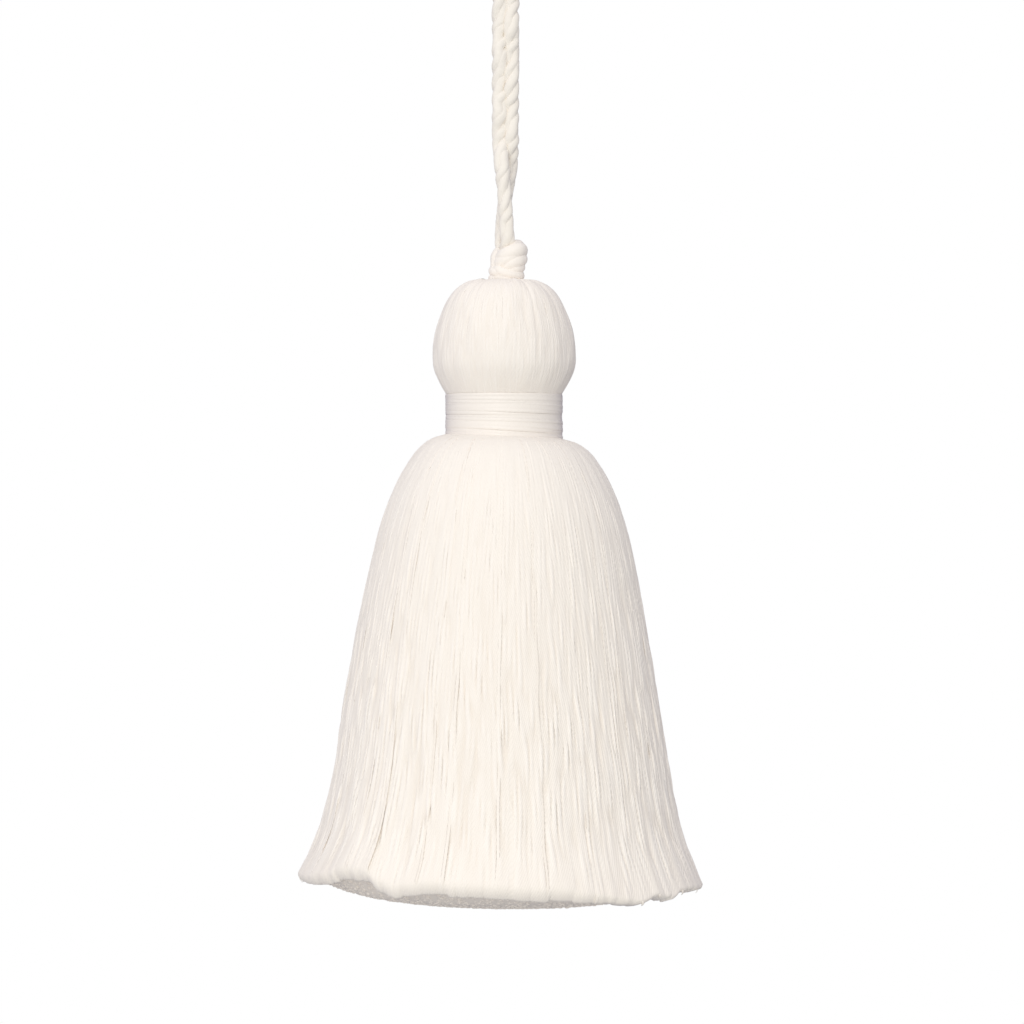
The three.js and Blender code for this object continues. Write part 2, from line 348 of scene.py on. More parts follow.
# Soft grooves between yarns: waves that they lie along, how many go round, their drift and a groove's width
GROOVE_WAVES = 40
GROOVE_RANGE = (44, 130)
GROOVE_DRIFT = 2.5
GROOVE_WIDTH = 0.72
# How the grooves come and go: waves of it, how many go round, their drift, and the strengths that they give
FADE_WAVES = 24
FADE_RANGE = (25, 90)
FADE_DRIFT = 8.0
FADE_MIDDLE = 0.7
FADE_SWING = 0.7
FADE_LIMITS = (0.1, 2.0)
# Broad waves of a sheet, as shares of the grooves' depth: their height, their number and how many go round
BROAD_HEIGHT = 0.14
BROAD_WAVES = 12
BROAD_RANGE = (20, 75)
# How deep the skirt's grooves are, by shares of the yarns' length, and how much painted shade darkens them
GROOVE_DEPTH = [(0.0, 0.014), (0.3, 0.11), (0.65, 0.22), (0.9, 0.21), (0.965, 0.11), (1.0, 0.03)]
GROOVE_PAINTED_SHADE = 1.4
# Painted light at the shoulder: how much paler the yarn is painted there, and the share of its length over
# which that fades
SHOULDER_PAINTED_LIGHT = 0.4
SHOULDER_PAINTED_LIGHT_END = 0.6

# Loose yarns on each half of the skirt: rows of points, number, radius and its spread, and how flat they are
LOOSE_ROWS = 98
LOOSE_YARNS = 14
LOOSE_RADIUS = 0.26
LOOSE_SPREAD = (0.88, 1.12)
LOOSE_FLATNESS = 0.2
# How far they stand out of the sheet, as a share of the grooves' depth and as a height
LOOSE_LEVEL = 0.1
LOOSE_HEIGHT = 0.03
# How strongly they stand out of the sheet and sink into it, by shares of their length
LOOSE_RELIEF = [(0.0, 0.0), (0.3, 0.1), (0.65, 0.5), (0.85, 0.5), (1.0, 0.3)]
# How they rise, shake and sway along their length, with waves in it, and how their levels differ
LOOSE_RISE = 0.045
LOOSE_RISE_WAVES = (3.3, 5.7, 8.9)
LOOSE_SHAKE_WAVES = (17.3, 21.9, 26.3, 33.7)
LOOSE_STAGGER = 0.03
LOOSE_SWAY = 0.13
SWAY_WAVES = (0.6, 1.9, 4.3, 7.1)
# Radius inside which a sway turns yarns no further
SKIRT_SWAY_REACH = 4.0
# How much of their relief they lose at a soft rim, and the shares of their length over which they lose it
LOOSE_SINK = (0.9, 2.2)
SINK_SPAN = (0.92, 0.99)
# Tips of loose yarns: how much shorter than the cut, how much longer where the rim is loose, and their spread
TIP_SHORT = 0.15
TIP_LOOSE = 0.2
TIP_SPREAD = 0.06
TIP_LOOSE_SPREAD = 0.08
# Ends open out into loose fibre: heights of rows above the tip, and how much wider the yarn is there
TIP_HEIGHTS = (2.4, 1.9, 1.4, 1.0, 0.65, 0.4, 0.2, 0.08, 0.0)
TIP_WIDTHS = (1.0, 1.02, 1.05, 1.08, 1.1, 1.08, 1.0, 0.85, 0.6)
# Share of the yarns' length where those rows follow the even ones
EVEN_ROWS_END = 0.965

# The rim turns in to the underside: its height above the tips, how far in it goes, and how steep it ends
RIM_HEIGHT = 1.8
RIM_DEPTH = 2.0
RIM_TURN = 0.96
# How much of that there is, by angles in degrees from the right: the ends are loose and straight on the right
RIM_SOFTNESS = [(0, 0.2), (60, 0.6), (120, 0.6), (180, 0.45), (205, 0.8), (225, 1.0), (285, 1.0), (300, 0.6),
                (315, 0.25), (360, 0.2)]
# How much shorter the sheet is, and how much higher the underside, where the ends are loose
LOOSE_LENGTH = 0.4
LOOSE_LIFT = 0.9

# Underside: how much lower its middle is, how flat it is there, its tilt and where to, and its rise in all
UNDER_CROWN = 3.6
CROWN_POWER = 3.5
UNDER_TILT = 0.45
UNDER_TURN = math.radians(-30)
UNDER_RISE = 0.1
# How far inside the rim it ends, and how much further where the rim is soft
UNDER_INSET = 1.2
UNDER_SOFT_INSET = 0.65
# Shares of its radius over which it takes on the rim's height, and its lift beside loose ends
UNDER_RIM_SPAN = (0.8, 1.0)
UNDER_LIFT_SPAN = (0.6, 0.95)
# Its shell: columns, rows below and above, where they stop in the middle, its thickness and the upper reach
UNDER_COLUMNS = 360
UNDER_ROWS = 60
UPPER_ROWS = 12
UNDER_MIDDLE = 0.002
UNDER_THICKNESS = 1.5
UPPER_REACH = 0.97
# Cut ends: number, how far out they go, how they are scattered, and how far they stand out with its spread
STUBS = 3000
STUB_REACH = 0.985
STUB_SCATTER = 0.008
STUB_TURN = 0.015
STUB_HEIGHT = 0.08
STUB_HEIGHT_SPREAD = 0.4 * STUB_HEIGHT
# Share of the ends that are longer, and by how much
LONG_STUBS = 0.005
LONG_STUB_HEIGHTS = (0.05, 0.2)
# Their radii, and the levels above the tip and widths of their rows
STUB_RADII = (0.36, 0.48)
STUB_LEVELS = (1.0, 0.2, 0.0)
STUB_WIDTHS = (0.9, 1.0, 0.6)

# Pale and deep colours of the cottons
CORD_COLOURS = ((0.922, 0.875, 0.81), (0.878, 0.822, 0.75))
# The knot is the same cord painted paler: painted light on the knot
KNOT_PAINTED_LIGHT_COLOURS = ((0.96, 0.91, 0.855), (0.92, 0.86, 0.795))
YARN_COLOURS = ((0.985, 0.93, 0.865), (0.912, 0.842, 0.76))
# The head is the skirt's yarn painted darker: painted shade on the head
HEAD_PAINTED_SHADE_COLOURS = ((0.94, 0.885, 0.825), (0.91, 0.845, 0.775))
THREAD_COLOURS = ((0.92, 0.86, 0.80), (0.885, 0.825, 0.76))
# The underside's cut ends are the yarn painted darker: painted shade under the skirt
END_PAINTED_SHADE_COLOURS = ((0.88, 0.815, 0.75), (0.84, 0.77, 0.70))
# Mottling between those colours, and how much of the blend is the tone: a yarn's own tone, and on the sheets
# also painted shade and painted light
MOTTLE_SCALE = 160.0
MOTTLE_DETAIL = 3.0
TONE_SHARE = 0.65
# Fibres: detail, how much they add to the height of the twist, and how much to the roughness
FIBRE_DETAIL = 4.0
FIBRE_HEIGHT = 0.6
FIBRE_ROUGHNESS = 0.12
BUMP_STRENGTH = 0.5
SHEEN = 0.1
SHEEN_ROUGHNESS = 0.4

# Red, green and blue light from the surroundings: level, and how it grows to the right, the back and the top
SKY_LIGHT = [
    (0.580, -0.130, -0.560, 0.325),
    (0.576, -0.130, -0.562, 0.315),
    (0.614, -0.132, -0.489, 0.325),
]
# Soft key light and pale floor, in metres and watts
KEY_PLACE = (-0.35, -1.2, 0.45)
KEY_TARGET = (0, 0, -0.11)
KEY_SIZE = 0.7
KEY_POWER = 1.2
FLOOR_RADIUS = 0.4
FLOOR_LEVEL = -1.0
FLOOR_SIDES = 64
FLOOR_TONE = 0.8
FLOOR_ROUGHNESS = 0.9

rng = np.random.default_rng(7)


# Curves and meshes from arrays

def straight_rows(rows, at):
    """Straight stretches through rows of place and value."""
    return np.interp(at, *np.array(rows).T)


def smooth_rows(rows, at):
    """Cubic through rows of place and value, with each row's slope taken from its neighbours."""
    places, values = np.array(rows, float).T
    slope = np.gradient(values, places)
    index = np.clip(np.searchsorted(places, at, side="right") - 1, 0, len(places) - 2)
    step = places[index + 1] - places[index]
    t = np.clip((at - places[index]) / step, 0, 1)
    rest = 1 - t
    start = values[index] * (1 + 2 * t) * rest**2 + step * slope[index] * t * rest**2
    end = values[index + 1] * t**2 * (3 - 2 * t) - step * slope[index + 1] * t**2 * rest
    return start + end


def line_length(rows):
    return np.hypot(*np.diff(np.array(rows, float), axis=0).T).sum()


def line_at(rows, at):
    """Drop and radius at shares of the length of a line."""
    rows = np.array(rows, float)
    share = np.concatenate([[0], np.cumsum(np.hypot(*np.diff(rows, axis=0).T))])
    share /= share[-1]
    return tuple(smooth_rows(np.column_stack([share, column]), at) for column in rows.T)


def smooth_step(low, high, value):
    t = np.clip((value - low) / (high - low), 0, 1)
    return t * t * (3 - 2 * t)


def route_through(points, step):
    """Evenly spaced points on the Catmull-Rom curve through points, and the curve's length."""
    points = np.array(points, float)
    padded = np.vstack([2 * points[0] - points[1], points, 2 * points[-1] - points[-2]])
    t = np.linspace(0, 1, ROUTE_POINTS, endpoint=False)[:, None]
    stretches = []
    for p0, p1, p2, p3 in zip(padded, padded[1:], padded[2:], padded[3:]):
        cubic = -p0 + 3 * p1 - 3 * p2 + p3
        square = 2 * p0 - 5 * p1 + 4 * p2 - p3
        stretches.append(0.5 * (2 * p1 + (p2 - p0) * t + square * t**2 + cubic * t**3))
    dense = np.vstack([*stretches, points[-1:]])
    lengths = np.concatenate([[0], np.cumsum(np.linalg.norm(np.diff(dense, axis=0), axis=1))])
    even = np.linspace(0, lengths[-1], int(round(lengths[-1] / step)) + 1)
    return np.column_stack([np.interp(even, lengths, dense[:, axis]) for axis in range(3)]), lengths[-1]


def unit(vectors):
    return vectors / np.maximum(np.linalg.norm(vectors, axis=-1, keepdims=True), TINY)


def carried_frames(path):
    """Two normals carried along the path without turning about it."""
    tangents = unit(np.gradient(path, axis=0))
    normals = np.empty_like(path)
    normals[0] = unit(np.cross(tangents[0], ROUTE_SIDE))
    for index in range(1, len(path)):
        before = normals[index - 1]
        normals[index] = unit(before - tangents[index] * np.dot(before, tangents[index]))
    return normals, np.cross(tangents, normals)


def around_axis(columns):
    """Even angles right round the axis."""
    return np.arange(columns) / columns * FULL_TURN


class Tubes:
    """Gathers tubes and shells and makes one mesh of them, with a lay coordinate and tones."""

    def __init__(self):
        self.points, self.quads, self.triangles = [], [], []
        self.quad_lay, self.triangle_lay, self.tones = [], [], []
        self.size = 0

    def add(self, paths, radii, section, tones, flat=1.0):
        """paths is tubes by points by 3, radii is tubes by points, and flat is how thick pressed tubes are.

        section lists the angles of a ring's points, in degrees from its outer side.
        """
        tubes, count, _ = paths.shape
        tangents = unit(np.gradient(paths, axis=1))
        outward = paths * (1, 1, 0) + (AXIS_NUDGE, 0, 0)
        normals = unit(outward - tangents * np.sum(outward * tangents, axis=2, keepdims=True))
        binormals = np.cross(tangents, normals)
        angle = np.radians(section)
        across = flat * np.cos(angle)[:, None]
        around = across * normals[:, :, None] + np.sin(angle)[:, None] * binormals[:, :, None]
        rings = paths[:, :, None] + np.reshape(radii, (tubes, count, 1, 1)) * around
        self.add_rings(rings, paths, tones)

    def add_rings(self, rings, paths, tones):
        """rings is tubes by points by sides by 3, and each end is closed by a fan."""
        tubes, count, sides, _ = rings.shape
        per_tube = count * sides + 2
        ends = np.stack([paths[:, 0], paths[:, -1]], axis=1)
        self.points.append(np.concatenate([rings.reshape(tubes, -1, 3), ends], axis=1).reshape(-1, 3))
        self.tones.append(np.repeat(tones, per_tube))
        row, side = np.meshgrid(np.arange(count - 1), np.arange(sides), indexing="ij")
        low = (row * sides + side).ravel()
        low_next = (row * sides + (side + 1) % sides).ravel()
        quad = np.column_stack([low, low_next, low_next + sides, low + sides])
        first = np.arange(sides)
        after = (first + 1) % sides
        last = (count - 1) * sides
        start_cap = np.column_stack([np.full(sides, count * sides), after, first])
        end_cap = np.column_stack([np.full(sides, count * sides + 1), last + first, last + after])
        cap = np.vstack([start_cap, end_cap])
        offset = self.size + np.arange(tubes)[:, None, None] * per_tube
        self.quads.append((quad[None] + offset).reshape(-1, 4))
        self.triangles.append((cap[None] + offset).reshape(-1, 3))
        steps = np.linalg.norm(np.diff(paths, axis=1), axis=2)
        run = np.concatenate([np.zeros((tubes, 1)), np.cumsum(steps, axis=1)], axis=1) / TWIST_PITCH
        u0 = np.tile((side / sides).ravel(), (tubes, 1))
        u1 = u0 + 1 / sides
        v0 = run[:, row.ravel()]
        v1 = run[:, row.ravel() + 1]
        corners = [np.stack(pair, -1) for pair in ((u0, v0), (u1, v0), (u1, v1), (u0, v1))]
        self.quad_lay.append(np.stack(corners, axis=2).reshape(-1, 2))
        cap_u = np.tile(np.column_stack([first, after, first]) / sides, (2, 1))
        cap_v = np.repeat(run[:, [0, -1]], sides, axis=1)
        cap_lay = np.stack([np.tile(cap_u, (tubes, 1, 1)), np.repeat(cap_v[:, :, None], 3, 2)], -1)
        self.triangle_lay.append(cap_lay.reshape(-1, 2))
        self.size += tubes * per_tube

    def add_shell(self, lines, yarns, tones=MIDDLE_TONE):
        """lines is columns by points by 3: closed lines side by side right round the axis, wound as yarns."""
        columns, count, _ = lines.shape
        self.points.append(lines.reshape(-1, 3))
        self.tones.append(np.broadcast_to(tones, (columns, count)).ravel())
        column, row = np.meshgrid(np.arange(columns), np.arange(count), indexing="ij")
        column, row = column.ravel(), row.ravel()
        beside = (column + 1) % columns
        below = (row + 1) % count
        corners = [column * count + row, column * count + below, beside * count + below, beside * count + row]
        self.quads.append(np.column_stack(corners) + self.size)
        steps = np.linalg.norm(np.diff(lines, axis=1, append=lines[:, :1]), axis=2)
        run = np.concatenate([np.zeros((columns, 1)), np.cumsum(steps, axis=1)], axis=1) / TWIST_PITCH
        u0 = column / columns * yarns
        u1 = u0 + yarns / columns
        v0 = run[column, row]
        v1 = run[column, row + 1]
        corner_lay = [np.column_stack(pair) for pair in ((u0, v0), (u0, v1), (u1, v1), (u1, v0))]
        self.quad_lay.append(np.stack(corner_lay, axis=1).reshape(-1, 2))
        self.size += columns * count

    def add_sheet(self, outer, lining, yarns, tones):
        """A shell of an outer sheet that has tones, and the lining behind it."""
        lines = np.concatenate([outer, lining[:, ::-1]], axis=1)
        lining_rows = lining.shape[1]
        self.add_shell(lines, yarns, np.pad(tones, ((0, 0), (0, lining_rows)), constant_values=MIDDLE_TONE))

    def make(self, name, material):
        quads = np.concatenate(self.quads).tolist()
        triangles = np.concatenate(self.triangles).tolist() if self.triangles else []
        mesh = bpy.data.meshes.new(name)
        mesh.from_pydata(np.concatenate(self.points) * MM, [], quads + triangles)
        lay = mesh.uv_layers.new(name="lay")
        corners = np.concatenate(self.quad_lay + self.triangle_lay)
        lay.data.foreach_set("uv", corners.astype(np.float32).ravel())
        tone = mesh.attributes.new("tone", "FLOAT", "POINT")
        tone.data.foreach_set("value", np.concatenate(self.tones).astype(np.float32))
        mesh.shade_smooth()
        mesh.materials.append(material)
        piece = bpy.data.objects.new(name, mesh)
        bpy.context.scene.collection.objects.link(piece)
        return piece


# Materials

class Nodes:
    """Short ways to add and link shader nodes."""

    def __init__(self, owner):
        owner.use_nodes = True
        self.tree = owner.node_tree

    def add(self, kind, **settings):
        node = self.tree.nodes.new(kind)
        for key, value in settings.items():
            setattr(node, key, value)
        return node

    def link(self, source, target):
        self.tree.links.new(source, target)

    def math(self, operation, *values):
        node = self.add("ShaderNodeMath", operation=operation)
        for socket, value in zip(node.inputs, values):
            if isinstance(value, (int, float)):
                socket.default_value = value
            else:
                self.link(value, socket)
        return node.outputs[0]

    def noise(self, vector, scale, detail):
        node = self.add("ShaderNodeTexNoise")
        node.inputs["Scale"].default_value = scale
        node.inputs["Detail"].default_value = detail
        self.link(vector, node.inputs["Vector"])
        return node.outputs["Fac"]


def cotton(name, colours, plies, relief, fibre_scale=3200.0, gloss=0.2, roughness=0.8):
    """Cotton: a tone that is a yarn's own and on the sheets also painted shade and light, mottling, a twist
    that runs along the lay, and fine fibres.
    """
    pale, deep = colours
    material = bpy.data.materials.new(name)
    nodes = Nodes(material)
    surface = nodes.tree.nodes["Principled BSDF"]
    tone = nodes.add("ShaderNodeAttribute", attribute_name="tone").outputs["Fac"]
    spot = nodes.add("ShaderNodeTexCoord").outputs["Object"]
    mottle = nodes.noise(spot, MOTTLE_SCALE, MOTTLE_DETAIL)
    own = nodes.math("MULTIPLY", tone, TONE_SHARE)
    blend = nodes.math("ADD", own, nodes.math("MULTIPLY", mottle, 1 - TONE_SHARE))
    colour = nodes.add("ShaderNodeMix", data_type="RGBA")
    colour.inputs["A"].default_value = (*deep, 1)
    colour.inputs["B"].default_value = (*pale, 1)
    nodes.link(blend, colour.inputs["Factor"])
    nodes.link(colour.outputs["Result"], surface.inputs["Base Color"])

    split = nodes.add("ShaderNodeSeparateXYZ")
    nodes.link(nodes.add("ShaderNodeUVMap", uv_map="lay").outputs["UV"], split.inputs["Vector"])
    turn = nodes.math("ADD", nodes.math("MULTIPLY", split.outputs["X"], float(plies)), split.outputs["Y"])
    twist = nodes.math("ABSOLUTE", nodes.math("SINE", nodes.math("MULTIPLY", turn, math.pi)))
    fibre = nodes.noise(spot, fibre_scale, FIBRE_DETAIL)
    height = nodes.math("ADD", twist, nodes.math("MULTIPLY", fibre, FIBRE_HEIGHT))
    bump = nodes.add("ShaderNodeBump")
    bump.inputs["Strength"].default_value = BUMP_STRENGTH
    bump.inputs["Distance"].default_value = relief * MM
    nodes.link(height, bump.inputs["Height"])
    nodes.link(bump.outputs["Normal"], surface.inputs["Normal"])
    rough = nodes.math("ADD", nodes.math("MULTIPLY", fibre, FIBRE_ROUGHNESS), roughness)
    nodes.link(rough, surface.inputs["Roughness"])
    surface.inputs["Specular IOR Level"].default_value = gloss
    surface.inputs["Sheen Weight"].default_value = SHEEN
    surface.inputs["Sheen Roughness"].default_value = SHEEN_ROUGHNESS
    return material


# The cord and its knot

def slow_waves(run):
    """Smooth unevenness along a cord, with a mean square of about one."""
    lengths = rng.uniform(*UNEVEN_LENGTHS, UNEVEN_WAVES)
    phases = rng.uniform(0, FULL_TURN, UNEVEN_WAVES)
    waves = np.sin(run[:, None] / lengths * FULL_TURN + phases)
    return waves.sum(axis=1) * math.sqrt(2 / UNEVEN_WAVES)


def rope(tubes, path, radius, lay, fullness, groove, phase=0.0):
    """Plies laid round a path, each with the ridges of its own yarns turning the other way.

    fullness is a ply's radius as a share of the rope's: soft plies fill the grooves between them.
    """
    normals, binormals = carried_frames(path)
    run = np.concatenate([[0], np.cumsum(np.linalg.norm(np.diff(path, axis=0), axis=1))])
    radius = np.broadcast_to(radius, len(path))
    around = around_axis(PLY_YARNS * YARN_POINTS)
    cosines = np.cos(around)[:, None]
    sines = np.sin(around)[:, None]
    for ply in range(CORD_PLIES):
        ply_radius = radius * fullness * (1 + PLY_UNEVENNESS * slow_waves(run))
        angle = phase + (ply / CORD_PLIES + run / lay) * FULL_TURN + LAY_UNEVENNESS * slow_waves(run)
        out = np.cos(angle)[:, None] * normals + np.sin(angle)[:, None] * binormals
        centre = path + (radius - ply_radius)[:, None] * out
        along = unit(np.gradient(centre, axis=0))
        across = unit(out - along * np.sum(out * along, axis=1, keepdims=True))
        beside = np.cross(along, across)
        ridge = np.abs(np.sin((PLY_YARNS * around[None] + run[:, None] * PLY_TURN) / 2))
        reach = (ply_radius[:, None] * (1 - groove * (1 - ridge)))[..., None]
        ring = cosines * across[:, None] + sines * beside[:, None]
        tubes.add_rings((centre[:, None] + reach * ring)[None], centre[None], rng.uniform(*PLY_TONES, 1))


def make_cord(material):
    path, length = route_through(CORD_ROUTE, CORD_STEP)
    drawn, _ = route_through(CORD_ENDS[0] + CORD_ROUTE + CORD_ENDS[1], CORD_STEP)
    radius = straight_rows(RUN_RADII, drawn[:, 2])
    aside = drawn[:, 0] - RUN_MIDDLE
    drawn[:, 0] = RUN_MIDDLE + aside * RUN_PRESS
    drawn[:, 1] += RUN_WAVE * np.clip(aside, -1, 1) * np.sin(drawn[:, 2] / RUN_WAVE_HEIGHT * FULL_TURN)
    tubes = Tubes()
    rope(tubes, drawn, radius, CORD_LAY, CORD_FULLNESS, PLY_GROOVE)
    return tubes.make("loop_cord", material), path, length


def make_knot(material):
    tubes = Tubes()
    for radius, points in KNOT_TURNS:
        path, _ = route_through(points, CORD_STEP)
        rope(tubes, path, radius, KNOT_LAY, KNOT_FULLNESS, KNOT_GROOVE, phase=rng.uniform(0, FULL_TURN))
    return tubes.make("knot_cord", material)


# The yarn

def wander(count, at, size, waves):
    """Smooth drift along each of count yarns, none at the root."""
    drift = np.zeros((count, len(at)))
    for wave in waves:
        phase = rng.uniform(0, FULL_TURN, (count, 1))
        strength = rng.normal(0, size / math.sqrt(len(waves)), (count, 1))
        drift += strength * (np.sin(at * wave * FULL_TURN + phase) - np.sin(phase) * (1 - at))
    return drift


def yarn_angles(count):
    """Angles of yarns right round the axis, not quite evenly apart."""
    return (np.arange(count) + rng.uniform(-YARN_JITTER, YARN_JITTER, count)) / count * FULL_TURN


def outward_slope(drop, radius):
    """Outward normal of a line, as its parts along the radius and upwards."""
    along = unit(np.column_stack([np.gradient(drop), np.gradient(radius)]))
    return along[:, 0], along[:, 1]


def long_waves(angle, at, count, between, drift):
    """Smooth waves round the axis that drift along the yarns, with a mean square of about one."""
    height = np.zeros((len(angle), len(at)))
    for _ in range(count):
        slip = rng.normal(0, drift) * at * FULL_TURN
        height += np.sin(rng.integers(*between) * angle[:, None] + slip + rng.uniform(0, FULL_TURN))
    return height * math.sqrt(2 / count)


def sheet_grooves(angle, at, between):
    """Soft grooves of a sheet of yarn that come and go: negative on a ridge, and positive in a groove."""
    waves = long_waves(angle, at, GROOVE_WAVES, between, GROOVE_DRIFT)
    groove = np.exp(-(waves / GROOVE_WIDTH) ** 2) - 0.5
    fade = long_waves(angle, at, FADE_WAVES, FADE_RANGE, FADE_DRIFT)
    strength = np.clip(FADE_MIDDLE + FADE_SWING * fade, *FADE_LIMITS)
    return groove * strength + BROAD_HEIGHT * long_waves(angle, at, BROAD_WAVES, BROAD_RANGE, GROOVE_DRIFT)


def painted_groove_shade(groove, strength):
    """Tones with painted shade, deeper in the grooves, and painted light, paler on the ridges."""
    return MIDDLE_TONE - strength * np.clip(groove, -0.5, 0.5)


# The head

def head_creases(angle, at):
    """How deep the creases between the gores are, from the crown to above the neck."""
    depth = np.zeros_like(angle)
    for degrees, deepest in HEAD_CREASES:
        apart = (angle - math.radians(degrees) + math.pi) % FULL_TURN - math.pi
        depth += deepest * np.exp(-(apart / CREASE_WIDTH) ** 2)
    return depth[:, None] * np.sin(np.clip(at / CREASE_END, 0, 1) * math.pi)


def head_lumps(lumps, angle, at):
    """Soft unevenness of the yarn underneath: lumps is rows of waves round, waves down and phase."""
    height = np.zeros((len(angle), len(at)))
    for around, down, phase in lumps:
        height += np.sin(round(around) * angle[:, None] + down * at * FULL_TURN + phase)
    return HEAD_LUMPS * height / math.sqrt(len(lumps)) * np.sin(at * math.pi)


def head_paths(angle, at, depth, sway=0.0):
    """Lines over the head at given angles and depths under its surface."""
    drop, radius = line_at(HEAD_LINE, at)
    to_side, to_top = outward_slope(drop, radius)
    reach = radius - depth * to_side
    turn = angle[:, None] + sway / np.maximum(reach, HEAD_SWAY_REACH)
    low = np.broadcast_to(drop + depth * to_top, turn.shape)
    return np.stack([reach * np.cos(turn), reach * np.sin(turn), HEAD_TOP - low], axis=-1)


def add_head_sheet(tubes, at, lumps):
    angle = around_axis(HEAD_COLUMNS)
    crease = head_creases(angle, at) + head_lumps(lumps, angle, at)
    groove = sheet_grooves(angle, at, HEAD_GROOVE_RANGE) * np.sqrt(np.sin(at * math.pi))
    outer = head_paths(angle, at, HEAD_SHEET_DEPTH + crease + HEAD_GROOVE_DEPTH * groove)
    lining = head_paths(angle, at[::LINING_STEP], HEAD_LINING_DEPTH)
    # Painted shade deepens the tone in the head's grooves, and painted light pales it on the ridges
    tubes.add_sheet(outer, lining, HEAD_YARNS, painted_groove_shade(groove, HEAD_GROOVE_PAINTED_SHADE))


def add_head_yarns(tubes, at, lumps):
    each = (HEAD_LOOSE_YARNS, 1)
    angle = yarn_angles(HEAD_LOOSE_YARNS)
    rise = wander(HEAD_LOOSE_YARNS, at, HEAD_RISE, HEAD_RISE_WAVES)
    rise = rise + rng.uniform(-HEAD_LEVEL, HEAD_LEVEL, each)
    sunk = HEAD_SHEET_DEPTH + HEAD_YARN_RADIUS * HEAD_FLATNESS - HEAD_RELIEF - rise
    crease = head_creases(angle, at) + head_lumps(lumps, angle, at)
    paths = head_paths(angle, at, sunk + crease, wander(HEAD_LOOSE_YARNS, at, HEAD_SWAY, HEAD_SWAY_WAVES))
    radii = HEAD_YARN_RADIUS * rng.uniform(*HEAD_YARN_SPREAD, each) * np.ones(len(at))
    tubes.add(paths, radii, PRESSED_SECTION, rng.uniform(0, 1, HEAD_LOOSE_YARNS), HEAD_FLATNESS)


def make_head(material):
    """A closed sheet of pressed yarn with soft grooves, and a few loose yarns on it."""
    tubes = Tubes()
    at = np.linspace(0, 1, HEAD_ROWS)
    around = rng.uniform(*LUMPS_ROUND, LUMP_WAVES)
    down = rng.uniform(*LUMPS_DOWN, LUMP_WAVES)
    lumps = np.column_stack([around, down, rng.uniform(0, FULL_TURN, LUMP_WAVES)])
    add_head_sheet(tubes, at, lumps)
    add_head_yarns(tubes, at, lumps)
    return tubes.make("head_yarn", material)


# The neck binding

def neck_swell(share):
    """How far the neck swells at shares of the binding's height."""
    return sum(size * np.sin(waves * share * FULL_TURN + phase) for waves, size, phase in NECK_WAVES)


def add_thread(tubes):
    turn = np.linspace(0, THREAD_TURNS, THREAD_TURNS * THREAD_STEPS + 1)
    shake = np.zeros_like(turn)
    bulge = np.zeros_like(turn)
    for wave in TURN_WAVES:
        shake += TURN_SHAKE * np.sin(turn * wave * FULL_TURN + rng.uniform(0, FULL_TURN))
        bulge += TURN_BULGE * np.sin(turn * wave * FULL_TURN + rng.uniform(0, FULL_TURN))
    for deep in DEEP_TURNS:
        bulge -= DEEP_TURN * np.exp(-(((turn - deep) / DEEP_TURN_LENGTH) ** 2))
    angle = turn * FULL_TURN + THREAD_START
    share = np.clip((turn - LEVEL_TURN) / (THREAD_TURNS - 2 * LEVEL_TURN), 0, 1)
    level = BINDING_TOP - THREAD_RADIUS - share * WOUND_HEIGHT + shake - share * BINDING_TILT * np.cos(angle)
    reach = NECK_RADIUS + bulge + neck_swell(share)
    path = np.column_stack([reach * np.cos(angle), reach * np.sin(angle), level])
    radii = np.full((1, len(path)), THREAD_RADIUS)
    tubes.add(path[None], radii, FINE_SECTION, np.array([THREAD_TONE]), THREAD_FLATNESS)


def add_thread_layer(tubes):
    angle = around_axis(LAYER_COLUMNS)[:, None]
    bottom = BINDING_TOP - BINDING_BOTTOM - LAYER_EDGE
    outer = np.linspace(LAYER_EDGE, bottom, LAYER_ROWS)
    drop = np.concatenate([outer, [bottom, (bottom + LAYER_EDGE) / 2, LAYER_EDGE]])
    share = (drop - THREAD_RADIUS) / WOUND_HEIGHT
    shows = np.arange(len(drop)) < LAYER_ROWS
    reach = NECK_RADIUS + np.where(shows, LAYER_RISE + neck_swell(share), -LAYER_DEPTH)
    tilt = BINDING_TILT * np.cos(angle) * drop / drop.max()
    shell = np.stack([reach * np.cos(angle), reach * np.sin(angle), BINDING_TOP - drop - tilt], axis=-1)
    tubes.add_shell(shell, LAYER_THREADS)


def make_binding(material):
    """One thread wound round the neck, and a closed layer of thread under it."""
    tubes = Tubes()
    add_thread(tubes)
    add_thread_layer(tubes)
    return tubes.make("binding_thread", material)


# The skirt

class Locks:
    """Uneven locks round the skirt that the yarns draw together into towards their ends."""

    def __init__(self):
        width = rng.uniform(*LOCK_WIDTHS, LOCKS)
        self.edges = np.concatenate([[0], np.cumsum(width)]) / width.sum() * FULL_TURN
        self.pull = rng.uniform(*LOCK_PULL, LOCKS)
        self.rise = rng.normal(0, LOCK_RISE, LOCKS)
        self.sway = rng.normal(0, LOCK_SWAY, LOCKS)

    def find(self, angle):
        """Number of each angle's lock, its half width, and where the angle lies in it, from -1 to 1."""
        angle = angle % FULL_TURN
        number = np.clip(np.searchsorted(self.edges, angle, side="right") - 1, 0, LOCKS - 1)
        low, high = self.edges[number], self.edges[number + 1]
        half = (high - low) / 2
        return number, half, (angle - (low + high) / 2) / half


def rim_drop(locks, angle):
    """How far below the binding the rim's yarns are cut."""
    number, _, across = locks.find(angle)
    lift = straight_rows(RIM_LIFT, np.degrees(angle) % 360)
    return SKIRT_DROP + CUT_TILT * np.cos(angle) - lift + locks.rise[number] - LOCK_ARCH * across**2


